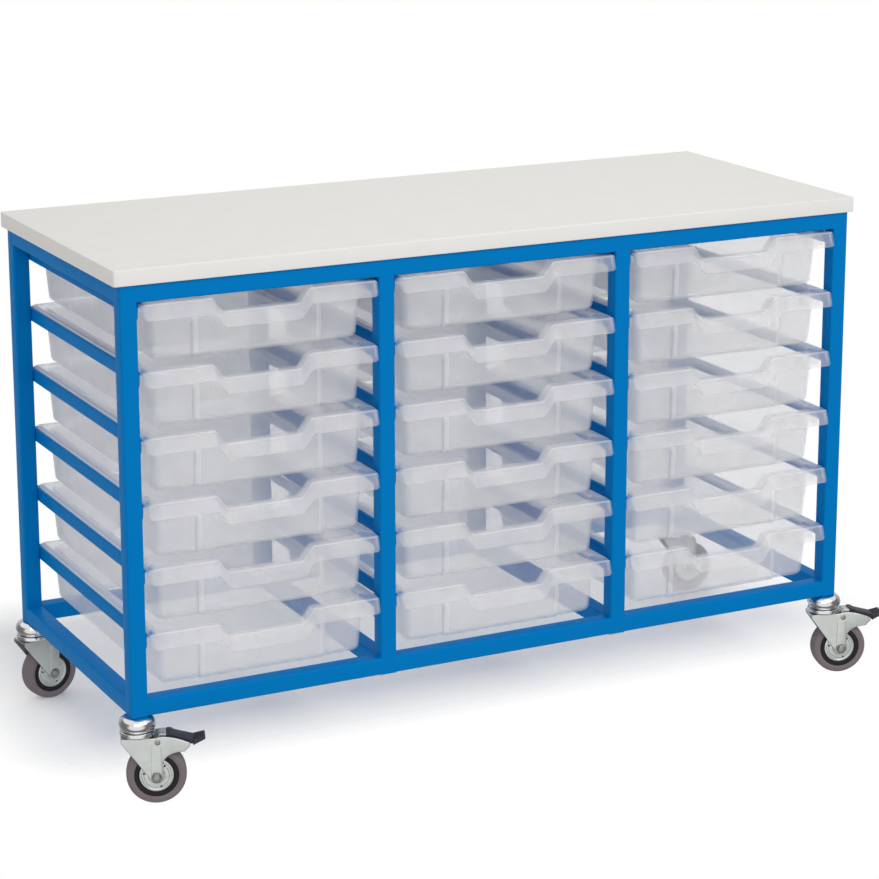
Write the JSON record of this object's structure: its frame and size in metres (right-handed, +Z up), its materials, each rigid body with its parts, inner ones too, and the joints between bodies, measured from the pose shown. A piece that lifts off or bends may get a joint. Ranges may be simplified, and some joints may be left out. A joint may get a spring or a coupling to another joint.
{
  "type": "classroom tray storage unit",
  "caption": "Mobile classroom storage unit: a blue welded tube frame on swivel castors, holding columns of pull-out frosted trays under a pale laminated worktop.",
  "frame": {"origin": "on the floor, under the middle of the unit's box", "axes": "+X along the front to the right, +Y from the front to the back, +Z up"},
  "size_m": [1.1284, 0.4646, 0.677],
  "materials": {
    "blue_coat": "semi-gloss powder coat",
    "white_laminate": "matt laminate on board",
    "frosted_plastic": "frosted translucent moulding",
    "zinc_plate": "bright zinc plate",
    "chrome_plate": "polished chrome plate",
    "grey_rubber": "matt grey non-marking rubber",
    "black_plastic": "satin moulding",
    "pedal_plastic": "satin moulding"
  },
  "bodies": {
    "frame": {"worktop": "white_laminate", "side_frame_left": "blue_coat", "side_frame_inner_left": "blue_coat", "side_frame_inner_right": "blue_coat", "side_frame_right": "blue_coat", "front_bottom_rail_left": "blue_coat", "front_bottom_rail_middle": "blue_coat", "front_bottom_rail_right": "blue_coat", "front_top_rail_left": "blue_coat", "front_top_rail_middle": "blue_coat", "front_top_rail_right": "blue_coat", "rear_bottom_rail_left": "blue_coat", "rear_bottom_rail_middle": "blue_coat", "rear_bottom_rail_right": "blue_coat", "rear_top_rail_left": "blue_coat", "rear_top_rail_middle": "blue_coat", "rear_top_rail_right": "blue_coat", "castor_head_front_left": "chrome_plate", "castor_head_front_right": "chrome_plate", "castor_head_rear_left": "chrome_plate", "castor_head_rear_right": "chrome_plate"},
    "castor_front_left": {"castor_fork_front_left": "zinc_plate", "castor_axle_front_left": "zinc_plate"},
    "wheel_front_left": {"castor_tyre_front_left": "grey_rubber", "castor_wheel_centre_front_left": "black_plastic"},
    "pedal_front_left": {"brake_pedal_front_left": "pedal_plastic"},
    "castor_front_right": {"castor_fork_front_right": "zinc_plate", "castor_axle_front_right": "zinc_plate"},
    "wheel_front_right": {"castor_tyre_front_right": "grey_rubber", "castor_wheel_centre_front_right": "black_plastic"},
    "pedal_front_right": {"brake_pedal_front_right": "pedal_plastic"},
    "castor_rear_left": {"castor_fork_rear_left": "zinc_plate", "castor_axle_rear_left": "zinc_plate"},
    "wheel_rear_left": {"castor_tyre_rear_left": "grey_rubber", "castor_wheel_centre_rear_left": "black_plastic"},
    "castor_rear_right": {"castor_fork_rear_right": "zinc_plate", "castor_axle_rear_right": "zinc_plate"},
    "wheel_rear_right": {"castor_tyre_rear_right": "grey_rubber", "castor_wheel_centre_rear_right": "black_plastic"},
    "tray_left_1": {"tray_left_1": "frosted_plastic"},
    "tray_left_2": {"tray_left_2": "frosted_plastic"},
    "tray_left_3": {"tray_left_3": "frosted_plastic"},
    "tray_left_4": {"tray_left_4": "frosted_plastic"},
    "tray_left_5": {"tray_left_5": "frosted_plastic"},
    "tray_left_6": {"tray_left_6": "frosted_plastic"},
    "tray_middle_1": {"tray_middle_1": "frosted_plastic"},
    "tray_middle_2": {"tray_middle_2": "frosted_plastic"},
    "tray_middle_3": {"tray_middle_3": "frosted_plastic"},
    "tray_middle_4": {"tray_middle_4": "frosted_plastic"},
    "tray_middle_5": {"tray_middle_5": "frosted_plastic"},
    "tray_middle_6": {"tray_middle_6": "frosted_plastic"},
    "tray_right_1": {"tray_right_1": "frosted_plastic"},
    "tray_right_2": {"tray_right_2": "frosted_plastic"},
    "tray_right_3": {"tray_right_3": "frosted_plastic"},
    "tray_right_4": {"tray_right_4": "frosted_plastic"},
    "tray_right_5": {"tray_right_5": "frosted_plastic"},
    "tray_right_6": {"tray_right_6": "frosted_plastic"}
  },
  "joints": [
    {"name": "castor_front_left_swivel", "type": "hinge", "parent": "frame", "child": "castor_front_left", "pos_m": [-0.53887, -0.19118, 0.0885], "axis": [0, 0, 1], "continuous": true},
    {"name": "wheel_front_left_roll", "type": "hinge", "parent": "castor_front_left", "child": "wheel_front_left", "pos_m": [-0.51819, -0.1987, 0.0375], "axis": [0.342, 0.9397, 0], "continuous": true},
    {"name": "pedal_front_left_press", "type": "hinge", "parent": "castor_front_left", "child": "pedal_front_left", "pos_m": [-0.51631, -0.19939, 0.083], "axis": [0.342, 0.9397, 0], "range_deg": [0, 10]},
    {"name": "castor_front_right_swivel", "type": "hinge", "parent": "frame", "child": "castor_front_right", "pos_m": [0.48113, -0.19118, 0.0885], "axis": [0, 0, 1], "continuous": true},
    {"name": "wheel_front_right_roll", "type": "hinge", "parent": "castor_front_right", "child": "wheel_front_right", "pos_m": [0.50206, -0.19798, 0.0375], "axis": [0.309, 0.9511, 0], "continuous": true},
    {"name": "pedal_front_right_press", "type": "hinge", "parent": "castor_front_right", "child": "pedal_front_right", "pos_m": [0.50396, -0.1986, 0.083], "axis": [0.309, 0.9511, 0], "range_deg": [0, 10]},
    {"name": "castor_rear_left_swivel", "type": "hinge", "parent": "frame", "child": "castor_rear_left", "pos_m": [-0.53887, 0.20682, 0.0885], "axis": [0, 0, 1], "continuous": true},
    {"name": "wheel_rear_left_roll", "type": "hinge", "parent": "castor_rear_left", "child": "wheel_rear_left", "pos_m": [-0.5172, 0.21064, 0.0375], "axis": [-0.1736, 0.9848, 0], "continuous": true},
    {"name": "castor_rear_right_swivel", "type": "hinge", "parent": "frame", "child": "castor_rear_right", "pos_m": [0.48113, 0.20682, 0.0885], "axis": [0, 0, 1], "continuous": true},
    {"name": "wheel_rear_right_roll", "type": "hinge", "parent": "castor_rear_right", "child": "wheel_rear_right", "pos_m": [0.50301, 0.20452, 0.0375], "axis": [0.1045, 0.9945, 0], "continuous": true},
    {"name": "tray_left_1_slide", "type": "slide", "parent": "frame", "child": "tray_left_1", "axis": [0, -1, 0], "range_m": [0, 0.44]},
    {"name": "tray_left_2_slide", "type": "slide", "parent": "frame", "child": "tray_left_2", "axis": [0, -1, 0], "range_m": [0, 0.44]},
    {"name": "tray_left_3_slide", "type": "slide", "parent": "frame", "child": "tray_left_3", "axis": [0, -1, 0], "range_m": [0, 0.44]},
    {"name": "tray_left_4_slide", "type": "slide", "parent": "frame", "child": "tray_left_4", "axis": [0, -1, 0], "range_m": [0, 0.44]},
    {"name": "tray_left_5_slide", "type": "slide", "parent": "frame", "child": "tray_left_5", "axis": [0, -1, 0], "range_m": [0, 0.44]},
    {"name": "tray_left_6_slide", "type": "slide", "parent": "frame", "child": "tray_left_6", "axis": [0, -1, 0], "range_m": [0, 0.44]},
    {"name": "tray_middle_1_slide", "type": "slide", "parent": "frame", "child": "tray_middle_1", "axis": [0, -1, 0], "range_m": [0, 0.44]},
    {"name": "tray_middle_2_slide", "type": "slide", "parent": "frame", "child": "tray_middle_2", "axis": [0, -1, 0], "range_m": [0, 0.44]},
    {"name": "tray_middle_3_slide", "type": "slide", "parent": "frame", "child": "tray_middle_3", "axis": [0, -1, 0], "range_m": [0, 0.44]},
    {"name": "tray_middle_4_slide", "type": "slide", "parent": "frame", "child": "tray_middle_4", "axis": [0, -1, 0], "range_m": [0, 0.44]},
    {"name": "tray_middle_5_slide", "type": "slide", "parent": "frame", "child": "tray_middle_5", "axis": [0, -1, 0], "range_m": [0, 0.44]},
    {"name": "tray_middle_6_slide", "type": "slide", "parent": "frame", "child": "tray_middle_6", "axis": [0, -1, 0], "range_m": [0, 0.44]},
    {"name": "tray_right_1_slide", "type": "slide", "parent": "frame", "child": "tray_right_1", "axis": [0, -1, 0], "range_m": [0, 0.44]},
    {"name": "tray_right_2_slide", "type": "slide", "parent": "frame", "child": "tray_right_2", "axis": [0, -1, 0], "range_m": [0, 0.44]},
    {"name": "tray_right_3_slide", "type": "slide", "parent": "frame", "child": "tray_right_3", "axis": [0, -1, 0], "range_m": [0, 0.44]},
    {"name": "tray_right_4_slide", "type": "slide", "parent": "frame", "child": "tray_right_4", "axis": [0, -1, 0], "range_m": [0, 0.44]},
    {"name": "tray_right_5_slide", "type": "slide", "parent": "frame", "child": "tray_right_5", "axis": [0, -1, 0], "range_m": [0, 0.44]},
    {"name": "tray_right_6_slide", "type": "slide", "parent": "frame", "child": "tray_right_6", "axis": [0, -1, 0], "range_m": [0, 0.44]}
  ]
}
